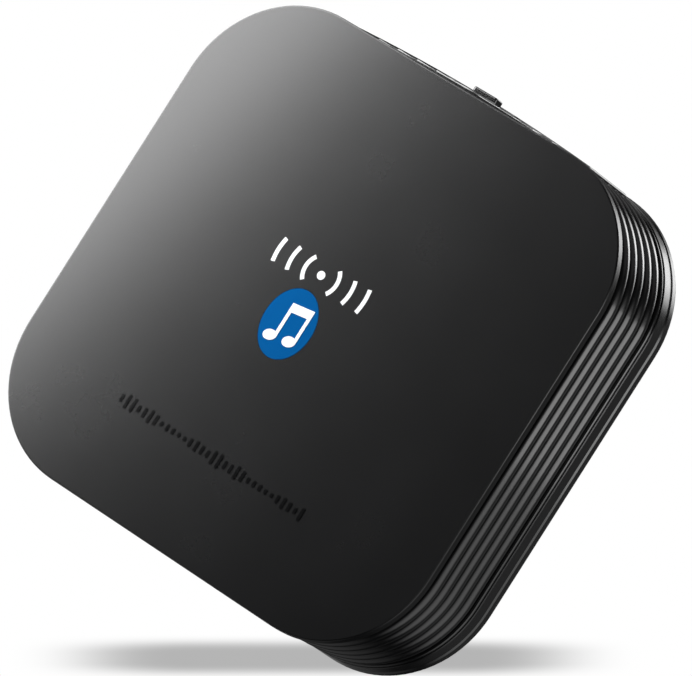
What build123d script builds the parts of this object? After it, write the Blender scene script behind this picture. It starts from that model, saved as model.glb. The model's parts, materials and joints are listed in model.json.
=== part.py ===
from build123d import *
import math
import os

os.makedirs("parts", exist_ok=True)

# Pocket audio receiver. The origin is the centre of the face it stands on, +Z is up,
# the sockets and the button face +Y (the rear) and the front edge faces -Y.

# ---- Driving dimensions, in mm ----
WIDTH = 65.0  # outline of the top cover, along X and along Y
HEIGHT = 18.2  # from the resting face to the flat top
CORNER_R = 14.5  # corner radius of the cover's outline
FRAME_WALL = 1.4  # wall of the ribbed frame behind its grooves

# ---- Levels, from the resting face up ----
PAD_T = 0.35  # the part of the pad that shows
CASE_Z = 0.5  # underside of the bottom case, a shadow gap above the pad
PLINTH_Z = 1.75  # the bottom case stands out a little below this
FRAME_Z = 3.6  # seam between the bottom case and the ribbed frame
FIRST_GROOVE_Z = 4.44  # middle of the lowest groove, on top of the foot band
RIM_Z = 15.9  # seam between the ribbed frame and the cover's rim
RIM_CORNER_Z = 17.05  # the cover's side stands upright above this and leans in below it
FLOOR_T = 1.85
FLOOR_Z = CASE_Z + FLOOR_T
COVER_T = 1.6
CEILING_Z = HEIGHT - COVER_T

# ---- Ribs ----
RIB_COUNT = 5
RIB_PITCH = 2.2
RIB_CREST_INSET = 0.25  # the cover overhangs the ribs by this much
RIB_BULGE = 0.55
FOOT_BULGE = 0.3
GROOVE_W = 0.3
GROOVE_DEPTH = 0.4
CREST_X = WIDTH / 2 - RIB_CREST_INSET
GROOVE_X = CREST_X - RIB_BULGE - GROOVE_DEPTH  # bottom of the grooves
INNER_Y = GROOVE_X - FRAME_WALL  # inside face of the frame
INNER_INSET = WIDTH / 2 - INNER_Y

# ---- Fits ----
SLIP = 0.1  # gap round parts that drop into one another
RUNNING = 0.06  # gap round parts that slide
THREAD_GAP = 0.02  # plain shanks stand in for threads
LIP_T = 1.2  # locating lips inside the frame
LIP_H = 1.4

# ---- Edges ----
COVER_TOP_EDGE = 0.2
COVER_RIM_EDGE = 0.15
COVER_RIM_INSET = 0.67  # the rim's lower end lies this far inside the outline
CASE_INSET = 0.15
CASE_LOW_EDGE = 0.15
CASE_TOP_EDGE = 0.1
PLINTH_STEP = 0.15  # how far the plinth stands out from the band above it
PLINTH_EDGE_H = 0.25  # height of the slope between the two
PAD_INSET = 0.2
PAD_EDGE = 0.1
PAD_RECESS_INSET = 2.2
PAD_RECESS_DEPTH = 0.3
ADHESIVE_T = 0.1

# ---- Rear panel ----
PANEL_HALF_W = 20.0
PANEL_END_Y = WIDTH / 2 - 0.05
PANEL_MID_Y = WIDTH / 2 + 0.7  # the middle bows out beyond the cover
PANEL_FACE_EDGE = 0.3
PANEL_FLANGE = 1.2  # overlap behind the frame's wall
PANEL_FLANGE_T = 1.3
PANEL_BACK_Y = INNER_Y - SLIP - PANEL_FLANGE_T
PANEL_SKIN_Y = 31.0  # back of the panel's front wall
PANEL_SIDE_T = 1.5
PANEL_Z0 = FIRST_GROOVE_Z + SLIP
PANEL_Z1 = RIM_Z - SLIP
LIP_GAP_HALF = PANEL_HALF_W + PANEL_FLANGE + 1.0  # the lips stop beside the panel

# ---- Circuit board ----
BOARD_HALF_W = 21.5
BOARD_Y0 = -21.0
BOARD_Y1 = 28.0
BOARD_Z = 7.2
BOARD_T = 1.2
BOARD_TOP = BOARD_Z + BOARD_T
BOARD_CORNER = 1.5
LEG_TIP_Z = BOARD_Z - 0.6  # legs of through-hole parts end here
LEG_SLOT = (0.6, 1.5)

# ---- Button and side-push switch ----
BUTTON_Z = 10.2
BUTTON_W = 3.6
BUTTON_H = 1.9
BUTTON_CORNER = 0.3
BUTTON_EDGE = 0.2
BUTTON_TIP_Y = 34.05
BUTTON_FLANGE_W = 5.4
BUTTON_FLANGE_H = 3.0
BUTTON_FLANGE_Y = PANEL_BACK_Y - 0.05
BUTTON_BACK_Y = 27.64
GUIDE_T = 1.2  # wall of the guide sleeve inside the panel
SWITCH_W = 6.0
SWITCH_D = 3.4
SWITCH_H = 3.6
SWITCH_FRONT_Y = 26.2
SWITCH_COVER_T = 0.2
PLUNGER_W = 2.6
PLUNGER_H = 1.4
PLUNGER_TIP_Y = BUTTON_BACK_Y - 0.04
PLUNGER_FLANGE = 0.4  # retains the plunger inside the switch
PLUNGER_FLANGE_T = 0.5
SWITCH_WING_L = 2.4  # the steel cover's sides, along Y
SWITCH_LEG_W = 1.2
CHAMBER_FRONT_Y = SWITCH_FRONT_Y - 0.8
CHAMBER_BACK_Y = CHAMBER_FRONT_Y - 1.2
DOME_R = 1.4
DOME_T = 0.1
DOME_SAG = 0.12

# ---- 3.5 mm socket ----
JACK_X = 12.0
JACK_Z = BOARD_TOP + 2.6
JACK_BORE_R = 1.8
JACK_BARREL_R = 2.6
JACK_BARREL_Y1 = 32.5
JACK_BARREL_SEAT = 2.0
JACK_W = 6.6
JACK_H = 5.2
JACK_Y0 = 15.1
JACK_Y1 = 27.6
JACK_CONTACT_YS = (17.0, 20.2, 23.4)
JACK_CONTACT_L = 2.2
JACK_CONTACT_T = 0.25
JACK_CONTACT_H = 1.6
JACK_LEG_W = 0.9
JACK_BACK_WALL = 0.8
JACK_TOP_EDGE = 0.5
JACK_MOUTH_EDGE = 0.15
JACK_SLOT_REACH = 0.4  # how far the contacts' slots open into the bore

# ---- Power socket ----
POWER_X = -12.0
POWER_W = 7.5
POWER_H = 2.5
POWER_MOUTH_Y = 31.7
POWER_BACK_Y = 26.0
POWER_Z = BOARD_TOP + POWER_H / 2
POWER_SHELL_T = 0.3
POWER_CHAMFER = 0.8
POWER_OPENING = (8.6, 3.5)
POWER_FOOT_Y = POWER_BACK_Y + 1.0
POWER_FOOT_W = 1.2
TONGUE_W = 3.7
TONGUE_T = 0.6
TONGUE_RISE = 0.2  # height of the tongue above the shell's centre
TONGUE_BASE_T = 1.4
TONGUE_SETBACK = 0.6  # from the shell's mouth to the tongue's tip
POWER_CONTACTS = 5
POWER_CONTACT_PITCH = 0.65
POWER_CONTACT_W = 0.3
POWER_CONTACT_T = 0.08
POWER_CONTACT_SETBACK = 0.9
POWER_TAIL_L = 0.9
POWER_TAIL_T = 0.25

# ---- Lamp ----
LAMP_X = 5.6
LAMP_Z = 9.6
LAMP_R = 0.75
LAMP_COLLAR_R = 1.1
LAMP_Y0 = 26.9
LED_W = 1.6
LED_D = 1.0
LED_H = 1.9
LED_EDGE = 0.3

# ---- Screws and posts ----
BOSS_X = 24.6
BOSS_Y = 22.6
BOSS_R = 2.2
CASE_POST_R = 2.6
CASE_POST_TOP = 4.6
CASE_SCREW_R = 1.0
CASE_SCREW_L = 8.0
CASE_HEAD_R = 1.9
CASE_HEAD_T = 1.2
CASE_HEAD_Z = 2.7  # face that the heads pull against
BOARD_POST_X = 17.5
BOARD_POST_YS = (-17.0, 12.0)
BOARD_POST_R = 2.1
BOARD_SCREW_R = 0.85
BOARD_SCREW_L = 4.5
BOARD_HEAD_R = 1.6
BOARD_HEAD_T = 0.9
PILOT_EXTRA = 1.0  # pilot holes go this much deeper than the screws
CLEARANCE = 0.15
HEAD_ROUND = 0.35  # of the head's height
CROSS_ARM = 1.2  # length of the drive's arms, in head radii
CROSS_SLOT = 0.28  # width of the drive's arms, in head radii
CROSS_DEPTH = 0.5  # of the head's height
SHANK_POINT = 0.4  # chamfer at the tip, in shank radii

# ---- Marks on the cover ----
BADGE_AT = (-1.7, -1.8)
BADGE_W = 7.2
BADGE_L = 9.1
BADGE_DEPTH = 0.25
BADGE_PROUD = 0.02
NOTE_HEAD_R = 0.93
NOTE_HEAD_FLATNESS = 0.72
NOTE_HEAD_TILT = 20
NOTE_STEM_W = 0.46
NOTE_STEM_H = 4.4
NOTE_GAP = 2.75
NOTE_RISE = 0.44
NOTE_BEAM_T = 1.15
PRINT_T = 0.03
STROKE = 0.55
TOUCH_AT = (-1.45, 5.1)
TOUCH_HALF_W = 7.15
TOUCH_H = 3.7
TOUCH_ARCS = 3
BARS_AT = (-1.0, -19.8)
BARS_COUNT = 32
BARS_PITCH = 0.94
BARS_W = 0.42
BARS_H = 2.0
BARS_T = 0.06
BARS_FLOOR = 0.3  # the lowest bar, as a share of the highest
BARS_RIPPLE = (0.83, 0.4)  # step per bar and start, in radians, of the quick rise and fall
BARS_SWELL = (0.21, -0.5)  # the same for the slow one

# ---- Touch aerial under the cover ----
FILM_HALF = 19.0
FILM_T = 0.1
FILM_CORNER = 3.0
COIL_TURNS = 4
COIL_TRACK_W = 0.6
COIL_PITCH = 1.2
COIL_T = 0.05
COIL_MARGIN = 1.0  # from the film's edge to the outer turn
COIL_CORNER_STEP = 0.5
FERRITE_T = 0.25
FERRITE_HALF = 17.5
TAIL_X = 4.0
TAIL_W = 4.0
TAIL_FRONT_Y = -22.4
TAIL_BEND_R = 1.5
TAIL_Z = BOARD_TOP + 1.1  # where the tail enters its connector
CONNECTOR = (6.0, 3.4, 1.9)
CONNECTOR_Y = -18.4
CONNECTOR_GAP = 0.04  # above and below the tail in its slot

# ---- Radio module ----
RADIO_AT = (-9.0, -9.0)
RADIO_SIZE = (12.0, 16.0, 0.8)
RADIO_TOP = BOARD_TOP + RADIO_SIZE[2]
SHIELD_SIZE = (10.6, 10.2, 1.8)
SHIELD_T = 0.2
SHIELD_EDGE = 0.3
SHIELD_AT = (RADIO_AT[0], RADIO_AT[1] + 2.3)
ANTENNA_TURNS = 5
ANTENNA_PITCH = 1.8
ANTENNA_TRACK_W = 0.4
ANTENNA_TRACK_T = 0.05
ANTENNA_DEPTH = 3.0
ANTENNA_MARGIN = 0.5  # from the radio board's front edge

# ---- Other parts on the board ----
AUDIO_CHIP = (7.0, 7.0, 0.9)
AUDIO_CHIP_AT = (8.5, -4.0)
TAG_CHIP = (3.0, 3.0, 0.8)
TAG_CHIP_AT = (12.5, -15.0)
DOT_R = 0.3  # dimple by a chip's first pin
DOT_DEPTH = 0.08
DOT_INSET = 0.9
REGULATOR = (6.5, 3.5, 1.6)
REGULATOR_AT = (-14.5, 8.5)
REGULATOR_LIFT = 0.1
REGULATOR_EDGE = 0.2
LEAD_SIZE = (0.7, 1.6, 0.25)
LEAD_PITCH = 2.3
LEAD_REACH = 2.55  # from the regulator's middle to the middle of its leads
TAB_SIZE = (3.0, 1.6, 0.25)
CRYSTAL = (3.2, 2.5, 0.8)
CRYSTAL_AT = (0.5, -8.5)
CRYSTAL_CORNER = 0.4
INDUCTOR = (5.0, 5.0, 2.2)
INDUCTOR_AT = (-14.5, 17.0)
INDUCTOR_CORNER = 1.0
INDUCTOR_DIMPLE_R = 1.3
INDUCTOR_DIMPLE = 0.3
CAN_PLACES = ((4.2, 16.8), (4.2, 10.6))
CAN_R = 2.4
CAN_TOP = BOARD_TOP + 5.4
CAN_EDGE = 0.4
CAN_BASE = (5.2, 5.2, 0.8)
CAN_BASE_CUT = 0.9  # two corners of the base are cut off
CERAMIC_SIZE = (0.9, 1.6, 0.8)
RESISTOR_SIZE = (0.8, 1.6, 0.45)
# rows of small parts along X: first place, count, pitch; every row's Y is a multiple of 2 mm
CERAMIC_ROWS = (((4.6, 2.0), 5, 2.0), ((-19.0, 2.0), 4, 2.2), ((16.6, -10.0), 2, 2.0))
RESISTOR_ROWS = (((4.6, -10.0), 4, 1.8), ((-8.0, 10.0), 4, 1.8), ((-8.0, 18.0), 3, 1.8))


# ---- Shape helpers ----
def outline(inset):
    """The object's rounded square, drawn in by inset."""
    side = WIDTH - 2 * inset
    return RectangleRounded(side, side, CORNER_R - inset)


def slab(inset, z0, z1):
    return extrude(Plane.XY.offset(z0) * outline(inset), z1 - z0)


def leaning_slab(inset, z0, z1, lean):
    """A slab whose side leans in by lean between its foot and its top."""
    angle = math.degrees(math.atan2(lean, z1 - z0))
    return extrude(Plane.XY.offset(z0) * outline(inset), z1 - z0, taper=angle)


def ring(inset, thickness, z0, z1):
    return slab(inset, z0, z1) - slab(inset + thickness, z0, z1)


def span(x, y, z):
    """A block from its (low, high) pairs along X, Y and Z."""
    size = [high - low for low, high in (x, y, z)]
    middle = [(high + low) / 2 for low, high in (x, y, z)]
    return Pos(*middle) * Box(*size)


def chip(width, depth, height, at, level=BOARD_TOP):
    """A block that stands on a level."""
    return Pos(at[0], at[1], level + height / 2) * Box(width, depth, height)


def post(radius, z0, z1, at=(0, 0)):
    return Pos(at[0], at[1], (z0 + z1) / 2) * Cylinder(radius, z1 - z0)


def rod_y(radius, y0, y1, x, z):
    """A round bar along Y."""
    return Pos(x, (y0 + y1) / 2, z) * Rot(90, 0, 0) * Cylinder(radius, y1 - y0)


def bar_y(sketch, y0, y1, x=0.0, z=0.0):
    """A bar along Y whose section is a sketch drawn in X and Z."""
    section = Plane((x, y0, z), x_dir=(1, 0, 0), z_dir=(0, -1, 0)) * sketch
    return extrude(section, -(y1 - y0))


def at_four(x, ys):
    return [(side * x, y) for side in (-1, 1) for y in ys]


def union(shapes):
    total = shapes[0]
    for shape in shapes[1:]:
        total = total + shape
    return total


def edges_at(shape, z):
    """A shape's edges that lie at one level."""
    return shape.edges().filter_by_position(Axis.Z, z - 0.01, z + 0.01)


BOSSES = at_four(BOSS_X, (-BOSS_Y, BOSS_Y))
BOARD_POSTS = at_four(BOARD_POST_X, BOARD_POST_YS)


# ---- Casing ----
def marks_on_cover(shapes, thickness):
    """Flat shapes laid on the top face, each drawn about the cover's centre."""
    return extrude(Plane.XY.offset(HEIGHT) * shapes, thickness)


def badge_outline(gap=0.0):
    return Pos(*BADGE_AT) * Ellipse(BADGE_W / 2 + gap, BADGE_L / 2 + gap)


def top_cover():
    rim = leaning_slab(COVER_RIM_INSET, RIM_Z, RIM_CORNER_Z, -COVER_RIM_INSET)
    plate = rim + slab(0, RIM_CORNER_Z, HEIGHT)
    plate = fillet(edges_at(plate, HEIGHT), COVER_TOP_EDGE)
    plate = fillet(edges_at(plate, RIM_CORNER_Z), COVER_RIM_EDGE)
    plate -= slab(INNER_INSET, RIM_Z, CEILING_Z)
    lip = ring(INNER_INSET + SLIP, LIP_T, RIM_Z - LIP_H, CEILING_Z)
    lip -= span((-LIP_GAP_HALF, LIP_GAP_HALF), (0, WIDTH / 2), (0, HEIGHT))
    bosses = [post(BOSS_R, CASE_POST_TOP + SLIP, CEILING_Z, at) for at in BOSSES]
    pilot_top = CASE_HEAD_Z + CASE_SCREW_L + PILOT_EXTRA
    pilots = [post(CASE_SCREW_R + THREAD_GAP, CASE_POST_TOP, pilot_top, at) for at in BOSSES]
    recess = extrude(Plane.XY.offset(HEIGHT - BADGE_DEPTH) * badge_outline(RUNNING), BADGE_DEPTH)
    return union([plate, lip] + bosses) - pilots - recess


def band_section(low, high, bulge):
    """Section of one convex band on the frame's wall, from the bottom of the grooves outwards."""
    edge = CREST_X - bulge
    return make_face(
        [
            ThreePointArc((edge, low), (CREST_X, (low + high) / 2), (edge, high)),
            Line((edge, high), (GROOVE_X, high)),
            Line((GROOVE_X, high), (GROOVE_X, low)),
            Line((GROOVE_X, low), (edge, low)),
        ]
    )


def rib_profile():
    """Section of the frame's wall on the +X side: foot band, then the ribs, grooves between."""
    half = GROOVE_W / 2
    middle = ((INNER_Y + GROOVE_X) / 2, (FRAME_Z + RIM_Z) / 2)
    wall = Pos(*middle) * Rectangle(GROOVE_X - INNER_Y, RIM_Z - FRAME_Z)
    bands = [band_section(FRAME_Z, FIRST_GROOVE_Z - half, FOOT_BULGE)]
    for i in range(RIB_COUNT):
        low = FIRST_GROOVE_Z + i * RIB_PITCH
        bands.append(band_section(low + half, low + RIB_PITCH - half, RIB_BULGE))
    return Plane.XZ * union([wall] + bands)


def panel_plug(gap=0.0):
    """The bowed block that fills the window in the frame, grown by gap on its four sides."""
    half = PANEL_HALF_W + gap
    left = (-half, PANEL_END_Y)
    right = (half, PANEL_END_Y)
    plan = make_face(
        [
            ThreePointArc(left, (0, PANEL_MID_Y), right),
            Line(right, (half, PANEL_BACK_Y)),
            Line((half, PANEL_BACK_Y), (-half, PANEL_BACK_Y)),
            Line((-half, PANEL_BACK_Y), left),
        ]
    )
    return extrude(Plane.XY.offset(PANEL_Z0 - gap) * plan, PANEL_Z1 - PANEL_Z0 + 2 * gap)


def ribbed_frame():
    wall = sweep(rib_profile(), path=outline(0).wire())
    return wall - panel_plug(SLIP)


def power_outline(width, height):
    """Section of the power socket: a rectangle with its two lower corners cut off."""
    w = width / 2
    h = height / 2
    c = POWER_CHAMFER
    return Polygon((-w, h), (-w, -h + c), (-w + c, -h), (w - c, -h), (w, -h + c), (w, h), align=None)


def rear_panel():
    plug = panel_plug()
    face = plug.faces().filter_by(GeomType.CYLINDER).sort_by(Axis.Y)[-1]
    plug = fillet(face.edges(), PANEL_FACE_EDGE)
    side = PANEL_HALF_W - PANEL_SIDE_T
    low = PANEL_Z0 + PANEL_SIDE_T
    high = PANEL_Z1 - PANEL_SIDE_T
    plug -= span((-side, side), (PANEL_BACK_Y, PANEL_SKIN_Y), (low, high))
    reach = PANEL_HALF_W + PANEL_FLANGE
    flange = span((-reach, reach), (PANEL_BACK_Y, INNER_Y - SLIP), (FRAME_Z + SLIP, PANEL_Z1))
    flange -= span((-side, side), (PANEL_BACK_Y, INNER_Y), (low, high))
    flange &= slab(INNER_INSET + SLIP, 0, HEIGHT)
    guide_w = BUTTON_W + 2 * GUIDE_T
    guide_h = BUTTON_H + 2 * GUIDE_T
    inner_face = (PANEL_BACK_Y, PANEL_SKIN_Y)
    guide = bar_y(Rectangle(guide_w, guide_h), *inner_face, z=BUTTON_Z)
    lamp_guide = rod_y(LAMP_R + GUIDE_T, *inner_face, LAMP_X, LAMP_Z)
    through = (PANEL_BACK_Y - 1, PANEL_MID_Y + 1)
    button_hole = RectangleRounded(BUTTON_W + 2 * RUNNING, BUTTON_H + 2 * RUNNING, BUTTON_CORNER + RUNNING)
    holes = [
        bar_y(button_hole, *through, z=BUTTON_Z),
        rod_y(LAMP_R + RUNNING, *through, LAMP_X, LAMP_Z),
        rod_y(JACK_BARREL_R + SLIP, *through, JACK_X, JACK_Z),
        bar_y(power_outline(*POWER_OPENING), *through, POWER_X, POWER_Z),
    ]
    return union([plug, flange, guide, lamp_guide]) - holes


def bottom_case():
    plinth_inset = CASE_INSET - PLINTH_STEP
    slope_z = PLINTH_Z - PLINTH_EDGE_H
    plinth = slab(plinth_inset, CASE_Z, slope_z)
    plinth += leaning_slab(plinth_inset, slope_z, PLINTH_Z, PLINTH_STEP)
    tray = plinth + slab(CASE_INSET, PLINTH_Z, FRAME_Z)
    tray = fillet(edges_at(tray, CASE_Z), CASE_LOW_EDGE)
    tray = chamfer(edges_at(tray, FRAME_Z), CASE_TOP_EDGE)
    tray -= slab(INNER_INSET + SLIP + LIP_T, FLOOR_Z, FRAME_Z)
    lip = ring(INNER_INSET + SLIP, LIP_T, FRAME_Z, FRAME_Z + LIP_H)
    lip -= span((-LIP_GAP_HALF, LIP_GAP_HALF), (0, WIDTH / 2), (0, HEIGHT))
    posts = [post(CASE_POST_R, CASE_Z, CASE_POST_TOP, at) for at in BOSSES]
    posts += [post(BOARD_POST_R, FLOOR_Z, BOARD_Z, at) for at in BOARD_POSTS]
    pocket_r = CASE_HEAD_R + CLEARANCE
    pilot_z = BOARD_TOP - BOARD_SCREW_L - PILOT_EXTRA
    cuts = [post(pocket_r, CASE_Z, CASE_HEAD_Z, at) for at in BOSSES]
    cuts += [post(CASE_SCREW_R + CLEARANCE, CASE_Z, CASE_POST_TOP, at) for at in BOSSES]
    cuts += [post(BOARD_SCREW_R + THREAD_GAP, pilot_z, BOARD_Z, at) for at in BOARD_POSTS]
    cuts.append(slab(PAD_RECESS_INSET, CASE_Z, CASE_Z + PAD_RECESS_DEPTH))
    return union([tray, lip] + posts) - cuts


def base_pad():
    sheet = slab(PAD_INSET, 0, PAD_T)
    sheet = fillet(edges_at(sheet, 0), PAD_EDGE)
    step_top = CASE_Z + PAD_RECESS_DEPTH - ADHESIVE_T
    return sheet + slab(PAD_RECESS_INSET + SLIP, PAD_T, step_top)


def pad_adhesive():
    top = CASE_Z + PAD_RECESS_DEPTH
    return slab(PAD_RECESS_INSET + 2 * SLIP, top - ADHESIVE_T, top)


# ---- Screws ----
def screw(shank_r, length, head_r, head_t):
    """A pan-head screw that points up from z = 0, its head below."""
    head = post(head_r, -head_t, 0)
    head = fillet(head.edges().sort_by(Axis.Z)[0], head_t * HEAD_ROUND)
    arm = head_r * CROSS_ARM
    slot = head_r * CROSS_SLOT
    depth = head_t * CROSS_DEPTH
    cross = chip(arm, slot, depth, (0, 0), -head_t) + chip(slot, arm, depth, (0, 0), -head_t)
    shank = post(shank_r, 0, length)
    shank = chamfer(shank.edges().sort_by(Axis.Z)[-1], shank_r * SHANK_POINT)
    return head - cross + shank


def case_screws():
    one = screw(CASE_SCREW_R, CASE_SCREW_L, CASE_HEAD_R, CASE_HEAD_T)
    return Compound([Pos(x, y, CASE_HEAD_Z) * one for x, y in BOSSES])


def board_screws():
    one = Rot(180, 0, 0) * screw(BOARD_SCREW_R, BOARD_SCREW_L, BOARD_HEAD_R, BOARD_HEAD_T)
    return Compound([Pos(x, y, BOARD_TOP) * one for x, y in BOARD_POSTS])


# ---- Marks ----
def badge_plate():
    height = BADGE_DEPTH + BADGE_PROUD
    return extrude(Plane.XY.offset(HEIGHT - BADGE_DEPTH) * badge_outline(), height)


def badge_note():
    """Two beamed notes, drawn inside the badge."""
    head = Rot(0, 0, NOTE_HEAD_TILT) * Ellipse(NOTE_HEAD_R, NOTE_HEAD_R * NOTE_HEAD_FLATNESS)
    stem_x = NOTE_HEAD_R - NOTE_STEM_W / 2
    left = -(NOTE_GAP + stem_x + NOTE_STEM_W / 2 - NOTE_HEAD_R) / 2
    low = -NOTE_STEM_H / 2
    shapes = []
    for i in range(2):
        x = left + i * NOTE_GAP
        y = low + i * NOTE_RISE
        shapes.append(Pos(x, y) * head)
        shapes.append(Pos(x + stem_x, y + NOTE_STEM_H / 2) * Rectangle(NOTE_STEM_W, NOTE_STEM_H))
    x0 = left + stem_x - NOTE_STEM_W / 2
    x1 = x0 + NOTE_GAP + NOTE_STEM_W
    top = low + NOTE_STEM_H + NOTE_STEM_W / 2
    under = top - NOTE_BEAM_T
    beam = Polygon((x0, under), (x1, under + NOTE_RISE), (x1, top + NOTE_RISE), (x0, top), align=None)
    flat = Pos(*BADGE_AT) * union(shapes + [beam])
    return extrude(Plane.XY.offset(HEIGHT + BADGE_PROUD) * flat, PRINT_T)


def touch_mark():
    """A dot between nested arcs of equal height."""
    shapes = [Circle(STROKE)]
    step = (TOUCH_HALF_W - STROKE) / TOUCH_ARCS
    for i in range(TOUCH_ARCS):
        radius = step * (i + 1) + STROKE / 2
        half_angle = math.degrees(math.asin((TOUCH_H - STROKE) / 2 / radius))
        for side in (0, 180):
            arc = CenterArc((0, 0), radius, side - half_angle, 2 * half_angle)
            shapes.append(trace(arc, STROKE))
    flat = [Pos(*TOUCH_AT) * shape for shape in shapes]
    return Compound([marks_on_cover(shape, PRINT_T).solid() for shape in flat])


def level_bars():
    """A row of slim bars whose heights rise and fall like a sound level."""
    bars = []
    for i in range(BARS_COUNT):
        ripple = math.sin(BARS_RIPPLE[0] * i + BARS_RIPPLE[1])
        swell = math.cos(BARS_SWELL[0] * i + BARS_SWELL[1])
        height = BARS_H * (BARS_FLOOR + (1 - BARS_FLOOR) * abs(ripple * swell))
        x = BARS_AT[0] + (i - (BARS_COUNT - 1) / 2) * BARS_PITCH
        shape = Pos(x, BARS_AT[1]) * RectangleRounded(BARS_W, height, BARS_W * 0.45)
        bars.append(marks_on_cover(shape, BARS_T).solid())
    return Compound(bars)


# ---- Button, switch and lamp ----
def pairing_button():
    section = RectangleRounded(BUTTON_W, BUTTON_H, BUTTON_CORNER)
    cap = bar_y(section, BUTTON_FLANGE_Y, BUTTON_TIP_Y, z=BUTTON_Z)
    tip = cap.faces().sort_by(Axis.Y)[-1]
    cap = fillet(tip.edges(), BUTTON_EDGE)
    flange = bar_y(Rectangle(BUTTON_FLANGE_W, BUTTON_FLANGE_H), BUTTON_BACK_Y, BUTTON_FLANGE_Y, z=BUTTON_Z)
    return cap + flange


def plunger_hole(gap):
    return Rectangle(PLUNGER_W + 2 * gap, PLUNGER_H + 2 * gap)


def switch_body():
    back = SWITCH_FRONT_Y - SWITCH_D
    body = bar_y(Rectangle(SWITCH_W, SWITCH_H), back, SWITCH_FRONT_Y, z=BUTTON_Z)
    chamber = Rectangle(PLUNGER_W + 4 * PLUNGER_FLANGE, PLUNGER_H + 4 * PLUNGER_FLANGE)
    body -= bar_y(chamber, CHAMBER_BACK_Y, CHAMBER_FRONT_Y, z=BUTTON_Z)
    return body - bar_y(plunger_hole(RUNNING), CHAMBER_FRONT_Y, SWITCH_FRONT_Y, z=BUTTON_Z)


def switch_plunger():
    flange_y1 = CHAMBER_FRONT_Y - 0.05
    flange_y0 = flange_y1 - PLUNGER_FLANGE_T
    stem = bar_y(plunger_hole(0), flange_y0, PLUNGER_TIP_Y, z=BUTTON_Z)
    flange = Rectangle(PLUNGER_W + 2 * PLUNGER_FLANGE, PLUNGER_H + 2 * PLUNGER_FLANGE)
    return stem + bar_y(flange, flange_y0, flange_y1, z=BUTTON_Z)


def switch_cover():
    """Steel bracket: a plate on the switch's face, with a leg down each side into the board."""
    y0 = SWITCH_FRONT_Y
    y1 = SWITCH_FRONT_Y + SWITCH_COVER_T
    plate = bar_y(Rectangle(SWITCH_W + 2 * SWITCH_COVER_T, SWITCH_H), y0, y1, z=BUTTON_Z)
    plate -= bar_y(plunger_hole(2 * RUNNING), y0, y1, z=BUTTON_Z)
    inner = SWITCH_W / 2
    outer = inner + SWITCH_COVER_T
    wing_y = (y1 - SWITCH_WING_L, y1)
    leg_y = (wing_y[0], wing_y[0] + SWITCH_LEG_W)
    for side in (-1, 1):
        x = sorted((side * inner, side * outer))
        plate += span(x, wing_y, (BOARD_TOP, BUTTON_Z + SWITCH_H / 2))
        plate += span(x, leg_y, (LEG_TIP_Z, BOARD_TOP))
    return plate


def switch_leg_slots():
    x = SWITCH_W / 2 + SWITCH_COVER_T / 2
    y = SWITCH_FRONT_Y + SWITCH_COVER_T - SWITCH_WING_L + SWITCH_LEG_W / 2
    return [(side * x, y) for side in (-1, 1)]


def switch_dome():
    """A shallow snap dome, drawn pressed, on the back wall of the chamber."""
    bow = (DOME_R**2 + DOME_SAG**2) / (2 * DOME_SAG)
    face_y = CHAMBER_BACK_Y + DOME_SAG + DOME_T
    outer = Pos(0, face_y - bow, BUTTON_Z) * Sphere(bow)
    inner = Pos(0, face_y - bow, BUTTON_Z) * Sphere(bow - DOME_T)
    return (outer - inner) & rod_y(DOME_R, CHAMBER_BACK_Y, CHAMBER_FRONT_Y, 0, BUTTON_Z)


def light_guide():
    bow = PANEL_MID_Y - PANEL_END_Y
    bow_r = (PANEL_HALF_W**2 + bow**2) / (2 * bow)
    tip_y = PANEL_MID_Y - bow_r + math.sqrt(bow_r**2 - LAMP_X**2)
    rod = rod_y(LAMP_R, LAMP_Y0, tip_y, LAMP_X, LAMP_Z)
    rod = fillet(rod.edges().sort_by(Axis.Y)[-1], LAMP_R * 0.4)
    return rod + rod_y(LAMP_COLLAR_R, LAMP_Y0 + 0.3, PANEL_BACK_Y, LAMP_X, LAMP_Z)


def status_led():
    body = chip(LED_W, LED_D, LED_H, (LAMP_X, LAMP_Y0 - SLIP - LED_D / 2))
    return chamfer(body.edges().filter_by(Axis.X).sort_by(Axis.Z)[-1], LED_EDGE)


# ---- Board and sockets ----
def jack_contact_places():
    """Each contact's side of the bore and its middle along Y."""
    return [(side, y) for side in (-1, 1) for y in JACK_CONTACT_YS]


def jack_legs():
    x = JACK_BORE_R + JACK_CONTACT_T / 2 + THREAD_GAP
    return [(JACK_X + side * x, y) for side, y in jack_contact_places()]


def power_feet():
    x = (POWER_W - POWER_SHELL_T) / 2
    return [(POWER_X + side * x, POWER_FOOT_Y) for side in (-1, 1)]


def main_board():
    width = 2 * BOARD_HALF_W
    length = BOARD_Y1 - BOARD_Y0
    middle = (BOARD_Y0 + BOARD_Y1) / 2
    flat = Pos(0, middle) * RectangleRounded(width, length, BOARD_CORNER)
    flat -= [Pos(*at) * Circle(BOARD_SCREW_R + CLEARANCE) for at in BOARD_POSTS]
    slots = jack_legs() + power_feet() + switch_leg_slots()
    flat -= [Pos(*at) * Rectangle(*LEG_SLOT) for at in slots]
    return extrude(Plane.XY.offset(BOARD_Z) * flat, BOARD_T)


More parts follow.
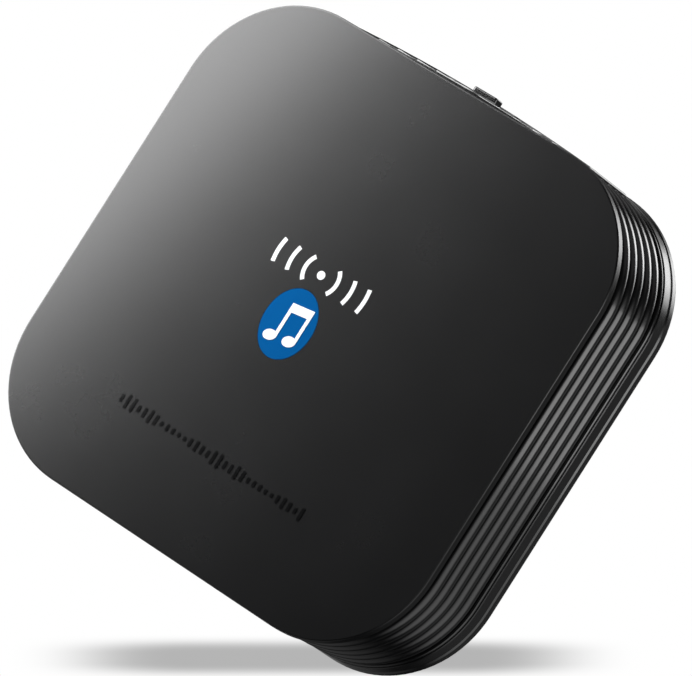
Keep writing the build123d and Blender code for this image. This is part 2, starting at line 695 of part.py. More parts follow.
def jack_housing():
    body = chip(JACK_W, JACK_Y1 - JACK_Y0, JACK_H, (JACK_X, (JACK_Y0 + JACK_Y1) / 2))
    body = chamfer(body.edges().filter_by(Axis.Y).group_by(Axis.Z)[-1], JACK_TOP_EDGE)
    body -= rod_y(JACK_BORE_R, JACK_Y0 + JACK_BACK_WALL, JACK_Y1, JACK_X, JACK_Z)
    body -= rod_y(JACK_BARREL_R, JACK_Y1 - JACK_BARREL_SEAT, JACK_Y1, JACK_X, JACK_Z)
    half = JACK_CONTACT_L / 2 + SLIP
    slot_z = (BOARD_TOP, JACK_Z + JACK_CONTACT_H / 2 + SLIP)
    near = JACK_BORE_R - JACK_SLOT_REACH
    far = JACK_BORE_R + JACK_CONTACT_T + SLIP
    for side, y in jack_contact_places():
        slot_x = sorted((JACK_X + side * near, JACK_X + side * far))
        body -= span(slot_x, (y - half, y + half), slot_z)
    return body


def jack_barrel():
    start = JACK_Y1 - JACK_BARREL_SEAT
    tube = rod_y(JACK_BARREL_R, start, JACK_BARREL_Y1, JACK_X, JACK_Z)
    tube -= rod_y(JACK_BORE_R, start, JACK_BARREL_Y1, JACK_X, JACK_Z)
    mouth = tube.faces().sort_by(Axis.Y)[-1]
    return chamfer(mouth.edges(), JACK_MOUTH_EDGE)


def jack_contacts():
    """Leaf contacts beside the bore, each with a leg through the board."""
    contacts = []
    for (side, y), (x, _) in zip(jack_contact_places(), jack_legs()):
        across = (x - JACK_CONTACT_T / 2, x + JACK_CONTACT_T / 2)
        half = JACK_CONTACT_L / 2
        height = (JACK_Z - JACK_CONTACT_H / 2, JACK_Z + JACK_CONTACT_H / 2)
        leaf = span(across, (y - half, y + half), height)
        leg = span(across, (y - JACK_LEG_W / 2, y + JACK_LEG_W / 2), (LEG_TIP_Z, height[0]))
        contacts.append(leaf + leg)
    return Compound(contacts)


def power_shell():
    inner_w = POWER_W - 2 * POWER_SHELL_T
    inner_h = POWER_H - 2 * POWER_SHELL_T
    shell = bar_y(power_outline(POWER_W, POWER_H), POWER_BACK_Y, POWER_MOUTH_Y, POWER_X, POWER_Z)
    shell -= bar_y(power_outline(inner_w, inner_h), POWER_BACK_Y, POWER_MOUTH_Y, POWER_X, POWER_Z)
    for x, y in power_feet():
        across = (x - POWER_SHELL_T / 2, x + POWER_SHELL_T / 2)
        shell += span(across, (y - POWER_FOOT_W / 2, y + POWER_FOOT_W / 2), (LEG_TIP_Z, POWER_Z))
    return shell


def power_tongue():
    inner_w = POWER_W - 2 * POWER_SHELL_T
    inner_h = POWER_H - 2 * POWER_SHELL_T
    base_y1 = POWER_BACK_Y + TONGUE_BASE_T
    base = bar_y(power_outline(inner_w, inner_h), POWER_BACK_Y, base_y1, POWER_X, POWER_Z)
    x = (POWER_X - TONGUE_W / 2, POWER_X + TONGUE_W / 2)
    z = POWER_Z + TONGUE_RISE
    blade_y = (base_y1, POWER_MOUTH_Y - TONGUE_SETBACK)
    return base + span(x, blade_y, (z - TONGUE_T / 2, z + TONGUE_T / 2))


def power_contacts():
    """Contact strips on the underside of the tongue, and their tails behind the shell."""
    under = POWER_Z + TONGUE_RISE - TONGUE_T / 2
    strip_y = (POWER_BACK_Y + TONGUE_BASE_T, POWER_MOUTH_Y - POWER_CONTACT_SETBACK)
    tail_y = (POWER_BACK_Y - POWER_TAIL_L, POWER_BACK_Y)
    strips = []
    for i in range(POWER_CONTACTS):
        x = POWER_X + (i - (POWER_CONTACTS - 1) / 2) * POWER_CONTACT_PITCH
        across = (x - POWER_CONTACT_W / 2, x + POWER_CONTACT_W / 2)
        strips.append(span(across, strip_y, (under - POWER_CONTACT_T, under)))
        strips.append(span(across, tail_y, (BOARD_TOP, BOARD_TOP + POWER_TAIL_T)))
    return Compound(strips)


# ---- Radio module ----
def radio_board():
    return chip(*RADIO_SIZE, RADIO_AT)


def radio_shield():
    can = chip(*SHIELD_SIZE, SHIELD_AT, RADIO_TOP)
    can = fillet(can.edges().group_by(Axis.Z)[-1], SHIELD_EDGE)
    inner = [size - 2 * SHIELD_T for size in SHIELD_SIZE[:2]]
    return can - chip(*inner, SHIELD_SIZE[2] - SHIELD_T, SHIELD_AT, RADIO_TOP)


def radio_antenna():
    """A meander of copper on the front strip of the radio board."""
    half = ANTENNA_TRACK_W / 2
    x0 = RADIO_AT[0] - ANTENNA_TURNS * ANTENNA_PITCH / 2
    y0 = RADIO_AT[1] - RADIO_SIZE[1] / 2 + ANTENNA_MARGIN
    y1 = y0 + ANTENNA_DEPTH
    z = (RADIO_TOP, RADIO_TOP + ANTENNA_TRACK_T)
    track = []
    for i in range(ANTENNA_TURNS + 1):
        x = x0 + i * ANTENNA_PITCH
        track.append(span((x - half, x + half), (y0, y1), z))
        if i < ANTENNA_TURNS:
            link_y = y0 if i % 2 else y1 - ANTENNA_TRACK_W
            link_x = (x - half, x + ANTENNA_PITCH + half)
            track.append(span(link_x, (link_y, link_y + ANTENNA_TRACK_W), z))
    return union(track)


# ---- Other parts on the board ----
def marked_chip(size, at):
    """A square chip with a shallow dimple by its first pin."""
    x = at[0] - size[0] / 2 + DOT_INSET
    y = at[1] - size[1] / 2 + DOT_INSET
    top = BOARD_TOP + size[2]
    return chip(*size, at) - post(DOT_R, top - DOT_DEPTH, top, (x, y))


def audio_chip():
    return marked_chip(AUDIO_CHIP, AUDIO_CHIP_AT)


def tag_chip():
    return marked_chip(TAG_CHIP, TAG_CHIP_AT)


def regulator():
    """A three-lead power regulator with its heat tab."""
    x, y = REGULATOR_AT
    body = chip(*REGULATOR, REGULATOR_AT, BOARD_TOP + REGULATOR_LIFT)
    body = chamfer(body.edges().group_by(Axis.Z)[-1], REGULATOR_EDGE)
    leads = [chip(*LEAD_SIZE, (x + i * LEAD_PITCH, y - LEAD_REACH)) for i in (-1, 0, 1)]
    tab = chip(*TAB_SIZE, (x, y + LEAD_REACH))
    return Compound([part.solid() for part in [body, *leads, tab]])


def clock_crystal():
    can = chip(*CRYSTAL, CRYSTAL_AT)
    return fillet(can.edges().filter_by(Axis.Z), CRYSTAL_CORNER)


def power_inductor():
    block = chip(*INDUCTOR, INDUCTOR_AT)
    block = fillet(block.edges().filter_by(Axis.Z), INDUCTOR_CORNER)
    top = BOARD_TOP + INDUCTOR[2]
    return block - post(INDUCTOR_DIMPLE_R, top - INDUCTOR_DIMPLE, top, INDUCTOR_AT)


def capacitor_cans():
    cans = []
    for at in CAN_PLACES:
        can = post(CAN_R, BOARD_TOP + CAN_BASE[2], CAN_TOP, at)
        cans.append(fillet(can.edges().sort_by(Axis.Z)[-1], CAN_EDGE).solid())
    return Compound(cans)


def capacitor_bases():
    bases = []
    for at in CAN_PLACES:
        base = chip(*CAN_BASE, at)
        cut_edges = base.edges().filter_by(Axis.Z).sort_by(Axis.X)[-2:]
        bases.append(chamfer(cut_edges, CAN_BASE_CUT).solid())
    return Compound(bases)


def chip_rows(rows, size):
    parts = []
    for (x, y), count, pitch in rows:
        parts += [chip(*size, (x + i * pitch, y)).solid() for i in range(count)]
    return Compound(parts)


def ceramic_capacitors():
    return chip_rows(CERAMIC_ROWS, CERAMIC_SIZE)


def resistors():
    return chip_rows(RESISTOR_ROWS, RESISTOR_SIZE)


# ---- Touch aerial ----
def tail_path():
    """Side view of the ribbon, in Y and Z, from the film down into its connector."""
    start = (-FILM_HALF + COIL_MARGIN, CEILING_Z - FILM_T / 2)
    bend = TAIL_BEND_R
    top_bend = (TAIL_FRONT_Y + bend, start[1])
    drop = (TAIL_FRONT_Y, start[1] - bend)
    low = (TAIL_FRONT_Y, TAIL_Z + bend)
    turn = (TAIL_FRONT_Y + bend, TAIL_Z)
    end = (CONNECTOR_Y, TAIL_Z)
    return [
        Line(start, top_bend),
        RadiusArc(top_bend, drop, bend),
        Line(drop, low),
        RadiusArc(low, turn, bend),
        Line(turn, end),
    ]


def touch_coil_film():
    flat = RectangleRounded(2 * FILM_HALF, 2 * FILM_HALF, FILM_CORNER)
    film = extrude(Plane.XY.offset(CEILING_Z - FILM_T) * flat, FILM_T)
    section = Plane.YZ.offset(TAIL_X - TAIL_W / 2) * trace(tail_path(), FILM_T)
    return film + extrude(section, TAIL_W)


def touch_coil():
    z = CEILING_Z - FILM_T - COIL_T
    turns = []
    for i in range(COIL_TURNS):
        half = FILM_HALF - COIL_MARGIN - i * COIL_PITCH
        corner = FILM_CORNER - i * COIL_CORNER_STEP
        outer = RectangleRounded(2 * half, 2 * half, corner)
        inner_half = half - COIL_TRACK_W
        inner = RectangleRounded(2 * inner_half, 2 * inner_half, corner - COIL_TRACK_W)
        turns.append(extrude(Plane.XY.offset(z) * (outer - inner), COIL_T).solid())
    return Compound(turns)


def ferrite_sheet():
    z = CEILING_Z - FILM_T - COIL_T - FERRITE_T
    flat = RectangleRounded(2 * FERRITE_HALF, 2 * FERRITE_HALF, FILM_CORNER)
    return extrude(Plane.XY.offset(z) * flat, FERRITE_T)


def film_connector():
    """The ribbon's connector, open at the front where the tail goes in."""
    body = chip(*CONNECTOR, (TAIL_X, CONNECTOR_Y))
    half_w = TAIL_W / 2 + SLIP
    half_h = FILM_T / 2 + CONNECTOR_GAP
    slot_y = (CONNECTOR_Y - CONNECTOR[1] / 2, CONNECTOR_Y + SLIP)
    slot = span((TAIL_X - half_w, TAIL_X + half_w), slot_y, (TAIL_Z - half_h, TAIL_Z + half_h))
    return body - slot


PARTS = [
    top_cover,
    ribbed_frame,
    rear_panel,
    bottom_case,
    base_pad,
    pad_adhesive,
    case_screws,
    board_screws,
    badge_plate,
    badge_note,
    touch_mark,
    level_bars,
    pairing_button,
    switch_body,
    switch_plunger,
    switch_cover,
    switch_dome,
    light_guide,
    status_led,
    main_board,
    jack_housing,
    jack_barrel,
    jack_contacts,
    power_shell,
    power_tongue,
    power_contacts,
    radio_board,
    radio_shield,
    radio_antenna,
    audio_chip,
    tag_chip,
    regulator,
    clock_crystal,
    power_inductor,
    capacitor_cans,
    capacitor_bases,
    ceramic_capacitors,
    resistors,
    touch_coil_film,
    touch_coil,
    ferrite_sheet,
    film_connector,
]

for make in PARTS:
    export_step(make(), f"parts/{make.__name__}.step")
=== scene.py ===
import json
import math

import bmesh
import bpy
from mathutils import Matrix, Vector


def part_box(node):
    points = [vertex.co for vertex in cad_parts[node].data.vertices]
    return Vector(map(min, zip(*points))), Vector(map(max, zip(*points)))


# A pocket audio receiver: a rounded-square puck with a satin top, ribbed gloss sides and a bowed
# rear panel. Lengths are metres, except inside materials, which work in millimetres.

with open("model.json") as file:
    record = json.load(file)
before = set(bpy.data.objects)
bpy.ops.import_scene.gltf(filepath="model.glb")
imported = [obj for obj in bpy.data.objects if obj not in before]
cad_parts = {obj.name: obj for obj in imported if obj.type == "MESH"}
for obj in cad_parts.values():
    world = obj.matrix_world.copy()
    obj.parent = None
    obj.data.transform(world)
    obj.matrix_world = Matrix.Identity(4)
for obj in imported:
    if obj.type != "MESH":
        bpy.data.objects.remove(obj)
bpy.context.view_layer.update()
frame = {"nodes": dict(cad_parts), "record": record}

MM = 0.001
COVER_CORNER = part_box("top_cover")[1]
HALF = COVER_CORNER.x  # half the width of the cover
TOP = COVER_CORNER.z

# ---- Camera: azimuth 0 looks along +Y, 90 along -X ----
VIEW_AZIMUTH = 89.19
VIEW_ELEVATION = 59.93
VIEW_ROLL = 56.86  # a positive roll turns the object anticlockwise in the picture
VIEW_DISTANCE = 0.7174
VIEW_AIM = Vector((0.0007, 0.0005, TOP / 2))
VIEW_LENS = 314.1

# ---- Directions, from the object ----
Z_AXIS = Vector((0, 0, 1))
KEY_DIRECTION = Vector((-92, 30, 54)).normalized()  # to the key light
KEY_SIDE = Vector((KEY_DIRECTION.x, KEY_DIRECTION.y, 0)).normalized()

# ---- Small parts on the board, in mm: rows lie on multiples of a step along Y ----
CHIP_ROW_STEP = 2.0
TIN_START = 0.55  # from a part's middle to the tin on its ends
TIN_EDGE = 0.01  # half the width of the blur there


# ---- Node graphs ----
class Graph:
    """The node tree of a material or of the world, with short calls for the nodes that they share."""

    def __init__(self, owner):
        owner.use_nodes = True
        self.owner = owner
        self.tree = owner.node_tree
        self.tree.nodes.clear()

    def node(self, kind, inputs=None, **settings):
        made = self.tree.nodes.new("ShaderNode" + kind)
        for name, value in settings.items():
            setattr(made, name, value)
        for name, value in (inputs or {}).items():
            self.feed(made.inputs[name], value)
        return made

    def feed(self, socket, value):
        if isinstance(value, bpy.types.NodeSocket):
            self.tree.links.new(value, socket)
        elif isinstance(value, tuple) and len(value) == 3 and socket.type == "RGBA":
            socket.default_value = (*value, 1.0)
        else:
            socket.default_value = value

    def place(self):
        """The shaded point in millimetres, in the object's own frame."""
        coordinates = self.node("TexCoord").outputs["Object"]
        scaled = self.node("VectorMath", {0: coordinates, "Scale": 1 / MM}, operation="SCALE")
        return scaled.outputs["Vector"]

    def math(self, operation, a, b=0.0):
        return self.node("Math", {0: a, 1: b}, operation=operation).outputs["Value"]

    def dot(self, a, b):
        return self.node("VectorMath", {0: a, 1: b}, operation="DOT_PRODUCT").outputs["Value"]

    def noise(self, scale, detail=2.0, roughness=0.5, at=None):
        """Noise from 0 to 1, with scale in cycles per millimetre."""
        inputs = {"Vector": at or self.place(), "Scale": scale, "Detail": detail, "Roughness": roughness}
        return self.node("TexNoise", inputs).outputs["Fac"]

    def cells(self, scale):
        """Distance to the nearest of many scattered points, with scale in points per millimetre."""
        return self.node("TexVoronoi", {"Vector": self.place(), "Scale": scale}).outputs["Distance"]

    def spread(self, value, low, high, start=0.0, end=1.0):
        """Maps start..end to low..high, smoothly and without going past."""
        inputs = {"Value": value, "From Min": start, "From Max": end, "To Min": low, "To Max": high}
        return self.node("MapRange", inputs, interpolation_type="SMOOTHSTEP").outputs["Result"]

    def mix(self, share, a, b):
        made = self.tree.nodes.new("ShaderNodeMix")
        made.data_type = "RGBA"
        self.feed(made.inputs["Factor"], share)
        self.feed(made.inputs[6], a)
        self.feed(made.inputs[7], b)
        return made.outputs[2]

    def bump(self, height, depth_mm, under=None):
        """A surface normal from a height of 0 to 1 that stands depth_mm high."""
        inputs = {"Height": height, "Distance": depth_mm * MM, "Strength": 1.0}
        if under:
            inputs["Normal"] = under
        return self.node("Bump", inputs).outputs["Normal"]

    def along(self, output, direction):
        """How far the surface's normal, or the direction back to the viewer, points along a direction."""
        return self.dot(self.node("NewGeometry").outputs[output], direction)

    def soft_touch_gloss(self):
        """Specular level of the cover and its prints: the top loses its gloss in low views into the key."""
        view_height = self.along("Incoming", Z_AXIS)  # the sine of the view's elevation
        from_above = self.spread(view_height, 0.01, 0.5, 0.45, 0.8)
        not_grazing = self.spread(view_height, 0.0, 1.0, 0.15, 0.4)
        upright = self.spread(self.along("Normal", Z_AXIS), 0.5, 0.0, 0.9, 0.99)
        past_key = self.spread(self.along("Incoming", KEY_SIDE), 0.0, 0.5, -0.2, 0.1)
        faded = self.math("MULTIPLY", from_above, not_grazing)
        return self.math("MAXIMUM", faded, self.math("MAXIMUM", upright, past_key))

    def shade(self, kind, inputs):
        return self.node(kind, inputs).outputs[0]

    def blend(self, share, a, b):
        """One shader at a share of 0, the other at 1."""
        made = self.node("MixShader", {"Fac": share})
        self.tree.links.new(a, made.inputs[1])
        self.tree.links.new(b, made.inputs[2])
        return made.outputs[0]

    def end(self, kind, shader):
        self.tree.links.new(shader, self.node(kind).inputs["Surface"])
        return self.owner

    def surface(self, **inputs):
        """Ends the graph in a Principled surface and returns the material."""
        names = {name.replace("_", " ").title(): value for name, value in inputs.items()}
        names = {name.replace("Ior", "IOR"): value for name, value in names.items()}
        return self.end("OutputMaterial", self.shade("BsdfPrincipled", names))


def material_graph(name):
    return Graph(bpy.data.materials.new(name))


def moulding(name, colour, roughness, grain_mm, grain_depth, polish=0.0, soft_touch=False):
    """Moulded plastic: a spark-eroded grain, slow colour and gloss changes, and faint handling marks."""
    g = material_graph(name)
    slow = g.noise(0.08, 3.0)
    grain = g.noise(1.0 / grain_mm, 3.0, 0.6)
    handling = g.noise(0.9, 6.0, 0.7)
    lighter = tuple(channel * 1.25 for channel in colour)
    slow_gloss = g.spread(slow, roughness * 0.97, roughness * 1.03)
    return g.surface(
        base_color=g.mix(g.spread(slow, 0.0, 1.0, 0.3, 0.7), colour, lighter),
        roughness=g.math("ADD", slow_gloss, g.spread(handling, -0.0015, 0.0015)),
        normal=g.bump(grain, grain_depth),
        coat_weight=polish,
        coat_roughness=0.08,
        specular_ior_level=g.soft_touch_gloss() if soft_touch else 0.5,
    )


def cover_black():
    return moulding("cover_black", (0.0026, 0.0027, 0.0030), 0.27, 0.12, 0.0012, soft_touch=True)


def gloss_black():
    return moulding("gloss_black", (0.0040, 0.0041, 0.0044), 0.20, 0.5, 0.0006, polish=0.4)


def pad_rubber():
    g = material_graph("pad_rubber")
    pits = g.cells(4.0)
    grain = g.noise(12.0, 4.0, 0.7)
    height = g.math("ADD", g.spread(pits, 1.0, 0.0, 0.1, 0.5), g.math("MULTIPLY", grain, 0.5))
    return g.surface(
        base_color=g.mix(g.noise(0.3, 4.0), (0.008, 0.008, 0.009), (0.016, 0.016, 0.017)),
        roughness=g.spread(grain, 0.62, 0.8),
        normal=g.bump(height, 0.012),
    )


def adhesive():
    g = material_graph("adhesive")
    return g.surface(
        base_color=g.mix(g.noise(0.5, 5.0), (0.5, 0.44, 0.33), (0.6, 0.55, 0.44)),
        roughness=g.spread(g.noise(2.0, 4.0), 0.3, 0.5),
        normal=g.bump(g.noise(1.5, 3.0), 0.01),
        subsurface_weight=0.1,
        subsurface_scale=0.0003,
    )


def badge_blue():
    g = material_graph("badge_blue")
    grain = g.noise(7.0, 3.0, 0.6)
    return g.surface(
        base_color=g.mix(g.noise(0.5, 3.0), (0.0004, 0.076, 0.252), (0.0006, 0.083, 0.268)),
        roughness=g.spread(grain, 0.40, 0.50),
        normal=g.bump(grain, 0.0015),
        specular_ior_level=g.math("MULTIPLY", g.soft_touch_gloss(), 0.02),
    )


def print_white():
    g = material_graph("print_white")
    film = g.noise(9.0, 4.0, 0.7)
    return g.surface(
        base_color=g.mix(film, (0.80, 0.81, 0.82), (0.90, 0.90, 0.90)),
        roughness=g.spread(film, 0.40, 0.55),
        normal=g.bump(film, 0.003),
    )


def print_black():
    g = material_graph("print_black")
    film = g.noise(5.0, 4.0, 0.6)
    gloss = g.soft_touch_gloss()
    return g.surface(
        base_color=g.mix(film, (0.0025, 0.0025, 0.0028), (0.004, 0.004, 0.0044)),
        roughness=g.spread(film, 0.14, 0.22),
        normal=g.bump(film, 0.0015),
        specular_ior_level=gloss,
        coat_weight=gloss,
        coat_roughness=0.06,
    )


def plated(name, colour, roughness, streak):
    """Plated or rolled metal: drawn along one way, with small dull spots."""
    g = material_graph(name)
    stretched = g.node("VectorMath", {0: g.place(), 1: (1.0, 0.12, 1.0)}, operation="MULTIPLY")
    lines = g.noise(14.0, 3.0, 0.6, at=stretched.outputs["Vector"])
    spots = g.noise(0.8, 5.0, 0.6)
    darker = tuple(channel * 0.8 for channel in colour)
    spotted = g.spread(spots, roughness, roughness * 1.5)
    return g.surface(
        base_color=g.mix(g.spread(spots, 0.0, 1.0, 0.45, 0.75), colour, darker),
        metallic=1.0,
        roughness=g.math("ADD", spotted, g.math("MULTIPLY", lines, streak)),
        normal=g.bump(lines, 0.0015),
    )


def steel():
    return plated("steel", (0.55, 0.55, 0.57), 0.26, 0.12)


def bright_tin():
    return plated("bright_tin", (0.74, 0.73, 0.71), 0.16, 0.10)


def contact_gold():
    return plated("contact_gold", (0.83, 0.60, 0.28), 0.20, 0.06)


def aluminium_can():
    return plated("aluminium_can", (0.74, 0.74, 0.76), 0.22, 0.14)


def copper():
    return plated("copper", (0.72, 0.38, 0.22), 0.24, 0.08)


def board_green():
    """Green solder mask: tracks show as a slightly raised, lighter net under it."""
    g = material_graph("board_green")
    net = {"Vector": g.place(), "Scale": 0.45, "Mortar Size": 0.06, "Mortar Smooth": 0.3}
    tracks = g.math("SUBTRACT", 1.0, g.node("TexBrick", net).outputs["Fac"])
    weave = g.noise(3.0, 2.0)
    green = g.mix(tracks, (0.010, 0.13, 0.050), (0.006, 0.075, 0.030))
    return g.surface(
        base_color=g.mix(g.math("MULTIPLY", weave, 0.35), green, (0.02, 0.16, 0.07)),
        roughness=g.spread(weave, 0.24, 0.36),
        normal=g.bump(tracks, 0.03),
        coat_weight=0.4,
        coat_roughness=0.12,
    )


def chip_black():
    return moulding("chip_black", (0.018, 0.018, 0.019), 0.55, 0.1, 0.004)


def dark_plastic():
    return moulding("dark_plastic", (0.011, 0.011, 0.012), 0.42, 0.15, 0.003)


def clear_plastic():
    g = material_graph("clear_plastic")
    ripple = g.noise(1.2, 2.0)
    return g.surface(
        base_color=g.mix(ripple, (0.88, 0.93, 0.97), (0.95, 0.98, 1.0)),
        roughness=g.spread(g.noise(6.0, 4.0), 0.06, 0.16),
        normal=g.bump(ripple, 0.004),
        transmission_weight=0.85,
        ior=1.49,
    )


def lamp_white():
    g = material_graph("lamp_white")
    cloud = g.noise(2.0, 4.0)
    return g.surface(
        base_color=g.mix(cloud, (0.80, 0.80, 0.74), (0.88, 0.88, 0.82)),
        roughness=g.spread(cloud, 0.25, 0.4),
        normal=g.bump(cloud, 0.004),
        subsurface_weight=0.2,
        subsurface_scale=0.0004,
    )


def ferrite():
    g = material_graph("ferrite")
    grains = g.cells(5.0)
    return g.surface(
        base_color=g.mix(grains, (0.050, 0.046, 0.046), (0.085, 0.078, 0.076)),
        roughness=g.spread(g.noise(4.0, 4.0), 0.55, 0.75),
        normal=g.bump(grains, 0.006),
        metallic=0.2,
    )


def film_amber():
    g = material_graph("film_amber")
    slow = g.noise(0.2, 3.0)
    return g.surface(
        base_color=g.mix(slow, (0.40, 0.15, 0.02), (0.52, 0.22, 0.04)),
        roughness=g.spread(g.noise(3.0, 3.0), 0.18, 0.3),
        normal=g.bump(g.noise(0.6, 3.0), 0.02),
        transmission_weight=0.15,
    )


def tinned_ends(name, body):
    """Small two-ended parts, each centred on a row step along Y: both ends of each are tinned."""
    g = material_graph(name)
    along = g.node("SeparateXYZ", {"Vector": g.place()}).outputs["Y"]
    wobble = g.noise(3.0, 4.0)
    darker = tuple(channel * 0.7 for channel in body)
    from_middle = g.math("PINGPONG", along, CHIP_ROW_STEP / 2)
    ragged = g.math("ADD", from_middle, g.math("MULTIPLY", wobble, 0.08))
    tinned = g.spread(ragged, 0.0, 1.0, TIN_START - TIN_EDGE, TIN_START + TIN_EDGE)
    return g.surface(
        base_color=g.mix(tinned, g.mix(wobble, body, darker), (0.72, 0.71, 0.69)),
        metallic=tinned,
        roughness=g.spread(wobble, 0.28, 0.5),
        normal=g.bump(wobble, 0.008),
    )


def ceramic_tan():
    return tinned_ends("ceramic_tan", (0.42, 0.29, 0.18))


def resistor_black():
    return tinned_ends("resistor_black", (0.035, 0.035, 0.038))


SLOTS = [
    cover_black,
    gloss_black,
    pad_rubber,
    adhesive,
    badge_blue,
    print_white,
    print_black,
    steel,
    bright_tin,
    board_green,
    chip_black,
    dark_plastic,
    contact_gold,
    clear_plastic,
    lamp_white,
    aluminium_can,
    ferrite,
    film_amber,
    ceramic_tan,
    resistor_black,
    copper,
]


def paint_cad_nodes():
    made = {make.__name__: make() for make in SLOTS}
    for part in frame["record"]["subparts"]:
        node = frame["nodes"][part["node"]]
        node.data.materials.clear()
        node.data.materials.append(made[part["material_slot"]])


# ---- Studio ----
def view_axes():
    """The camera's right, up and back directions, in the object's frame."""
    azimuth = math.radians(VIEW_AZIMUTH)
    elevation = math.radians(VIEW_ELEVATION)
    roll = math.radians(VIEW_ROLL)
    level = math.cos(elevation)
    back = Vector((math.sin(azimuth) * level, -math.cos(azimuth) * level, math.sin(elevation)))
    side = Vector((0, 0, 1)).cross(back).normalized()
    rise = back.cross(side)
    up = rise * math.cos(roll) + side * math.sin(roll)
    right = side * math.cos(roll) - rise * math.sin(roll)
    return right, up, back


RIGHT, UP, BACK = view_axes()

# ---- Light: each glow is a direction, two angles in degrees and a radiance ----
WHITE = (1.0, 1.0, 1.0)
ROOM_RADIANCE = 0.01
GLOWS = [
    (Vector((0.20, 0.66, -0.72)), 8, 17, 5.0),
    (Vector((0.09, 0.47, -0.88)), 6, 17, 2.7),
    (Vector((-0.18, 0.28, -0.94)), 4, 10, 1.2),
    (Vector((-0.15, 0.70, -0.70)), 10, 30, 0.12),
    (Vector((0.5, 0.0, -0.866)), 12, 42, 0.09),
    (-BACK, 12, 34, 0.06),
    (Vector((-0.5, 0.87, 0.0)), 8, 30, 1.6),
    (Vector((0.5, 0.8, 0.0)), 8, 28, 0.25),
    (Vector((0.96, -0.26, 0.0)), 5, 45, 1.2),
    (Vector((0, 0, 1)), 5, 16, 1.0),
    (Vector((-0.8, -0.6, -0.1)), 8, 40, 1.2),
    (Vector((-0.3, -0.95, 0.0)), 10, 50, 0.3),
]
# Each softbox is a name, the point it faces, its place, its width and height, and a radiance.
MIDDLE = Vector((0, 0, TOP / 2))
KEY_DISTANCE = 0.111
SOFTBOXES = [
    ("key", MIDDLE, MIDDLE + KEY_DIRECTION * KEY_DISTANCE, (0.153, 0.086), 11.0),
    ("side", Vector((HALF, 0.025, 0.0035)), Vector((0.15, 0.025, 0.0035)), (0.052, 0.125), 2.4),
]

# ---- Backdrop and floor, in metres at the object's distance ----
SHADOW_AT = (-0.0025, -0.038)  # to the right of the aim and above it, in the picture
SHADOW_FLAT = (0.0155, 0.0005)  # half-width and half-height of its darkest part
SHADOW_END = (0.0404, 0.0031)  # and of its outer end
SHADOW_VALUE = 0.46
FLOOR_RADIUS = 0.6
FLOOR_VALUE = 0.86
FLOOR_SHADOW_REACH = 0.02
FLOOR_FADE_MM = (60.0, 400.0)  # the paper turns white between these distances from the object
FLOOR_CLEAR = (0.55, 0.7)  # it fades from view between these sines of the view's elevation


def add_camera():
    data = bpy.data.cameras.new("camera")
    data.lens = VIEW_LENS
    camera = bpy.data.objects.new("camera", data)
    bpy.context.scene.collection.objects.link(camera)
    turn = Matrix((RIGHT, UP, BACK)).transposed().to_4x4()
    camera.matrix_world = Matrix.Translation(VIEW_AIM + BACK * VIEW_DISTANCE) @ turn
    data.clip_start = VIEW_DISTANCE * 0.01
    data.clip_end = VIEW_DISTANCE * 100
    bpy.context.scene.camera = camera


def softbox(name, aim, place, size, radiance):
    """A rectangular light at a place, facing its aim. Radiance is how bright it looks."""
    data = bpy.data.lights.new(name, "AREA")
    data.shape = "RECTANGLE"
    data.size, data.size_y = size
    data.energy = radiance * math.pi * size[0] * size[1]
    light = bpy.data.objects.new(name, data)
    bpy.context.scene.collection.objects.link(light)
    light.location = place
    light.rotation_mode = "QUATERNION"
    light.rotation_quaternion = (place - aim).to_track_quat("Z", "Y")
    light.visible_camera = False


def glow(g, way, direction, inner, outer, radiance):
    """Radiance round one direction of the room: full within inner degrees of it, none past outer."""
    near = g.dot(way, direction.normalized())
    return g.spread(near, 0.0, radiance, math.cos(math.radians(outer)), math.cos(math.radians(inner)))


def backdrop_shadow(g, way):
    """The soft pool of shadow that lies behind the lowest corner, as a share of 0 to 1."""
    depth = g.dot(way, -BACK)
    share = g.math("GREATER_THAN", depth, 0.9)
    for axis, at, flat, end in zip((RIGHT, UP), SHADOW_AT, SHADOW_FLAT, SHADOW_END):
        along = g.math("DIVIDE", g.dot(way, axis), depth)
        away = g.math("ABSOLUTE", g.math("SUBTRACT", along, at / VIEW_DISTANCE))
        fade = g.spread(away, 1.0, 0.0, flat / VIEW_DISTANCE, end / VIEW_DISTANCE)
        share = g.math("MULTIPLY", share, fade)
    return share


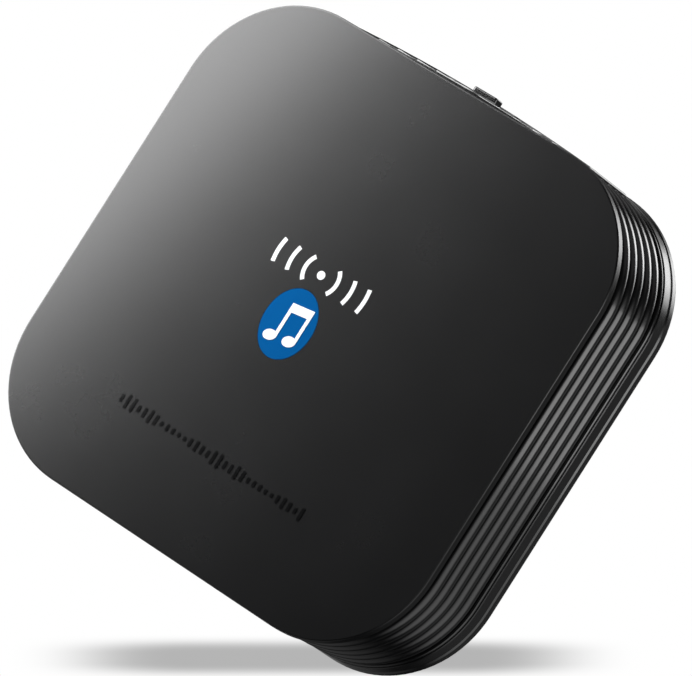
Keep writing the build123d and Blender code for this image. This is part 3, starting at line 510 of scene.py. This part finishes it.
def add_world():
    """A white sweep to the camera, and a dark room with soft glows for the object to reflect."""
    world = bpy.data.worlds.new("room")
    bpy.context.scene.world = world
    g = Graph(world)
    way = g.node("TexCoord").outputs["Generated"]
    room = ROOM_RADIANCE
    for settings in GLOWS:
        room = g.math("ADD", room, glow(g, way, *settings))
    sweep = g.spread(backdrop_shadow(g, way), 1.0, SHADOW_VALUE)
    camera_ray = g.node("LightPath").outputs["Is Camera Ray"]
    reflected = g.shade("Background", {"Color": WHITE, "Strength": room})
    seen = g.shade("Background", {"Color": WHITE, "Strength": sweep})
    g.end("OutputWorld", g.blend(camera_ray, reflected, seen))


def floor_material():
    """Pale paper with the object's contact shadow. It fades out where the camera looks down on it steeply."""
    g = material_graph("floor")
    shade = g.node("AmbientOcclusion", {"Distance": FLOOR_SHADOW_REACH}, samples=16).outputs["AO"]
    fibre = g.noise(2.0, 3.0)
    away = g.node("VectorMath", {0: g.place()}, operation="LENGTH").outputs["Value"]
    paper = g.spread(away, FLOOR_VALUE, 1.0, *FLOOR_FADE_MM)
    paper = g.math("ADD", paper, g.spread(fibre, -0.004, 0.004))
    value = g.math("MULTIPLY", paper, g.spread(shade, 0.35, 1.0))
    view_height = g.along("Incoming", Z_AXIS)
    steep = g.spread(view_height, 0.0, 1.0, *FLOOR_CLEAR)
    below = g.math("LESS_THAN", view_height, 0.0)
    clear = g.math("MAXIMUM", steep, below)
    lit = g.shade("Emission", {"Color": WHITE, "Strength": value})
    return g.end("OutputMaterial", g.blend(clear, lit, g.shade("BsdfTransparent", {})))


def add_floor():
    mesh = bpy.data.meshes.new("floor")
    shape = bmesh.new()
    bmesh.ops.create_circle(shape, cap_ends=True, segments=96, radius=FLOOR_RADIUS)
    shape.to_mesh(mesh)
    shape.free()
    floor = bpy.data.objects.new("floor", mesh)
    bpy.context.scene.collection.objects.link(floor)
    mesh.materials.append(floor_material())
    for ray in ("diffuse", "glossy", "transmission", "shadow"):
        setattr(floor, f"visible_{ray}", False)


def main():
    bpy.context.scene.view_settings.view_transform = "Standard"
    paint_cad_nodes()
    add_world()
    for settings in SOFTBOXES:
        softbox(*settings)
    add_floor()
    add_camera()


main()
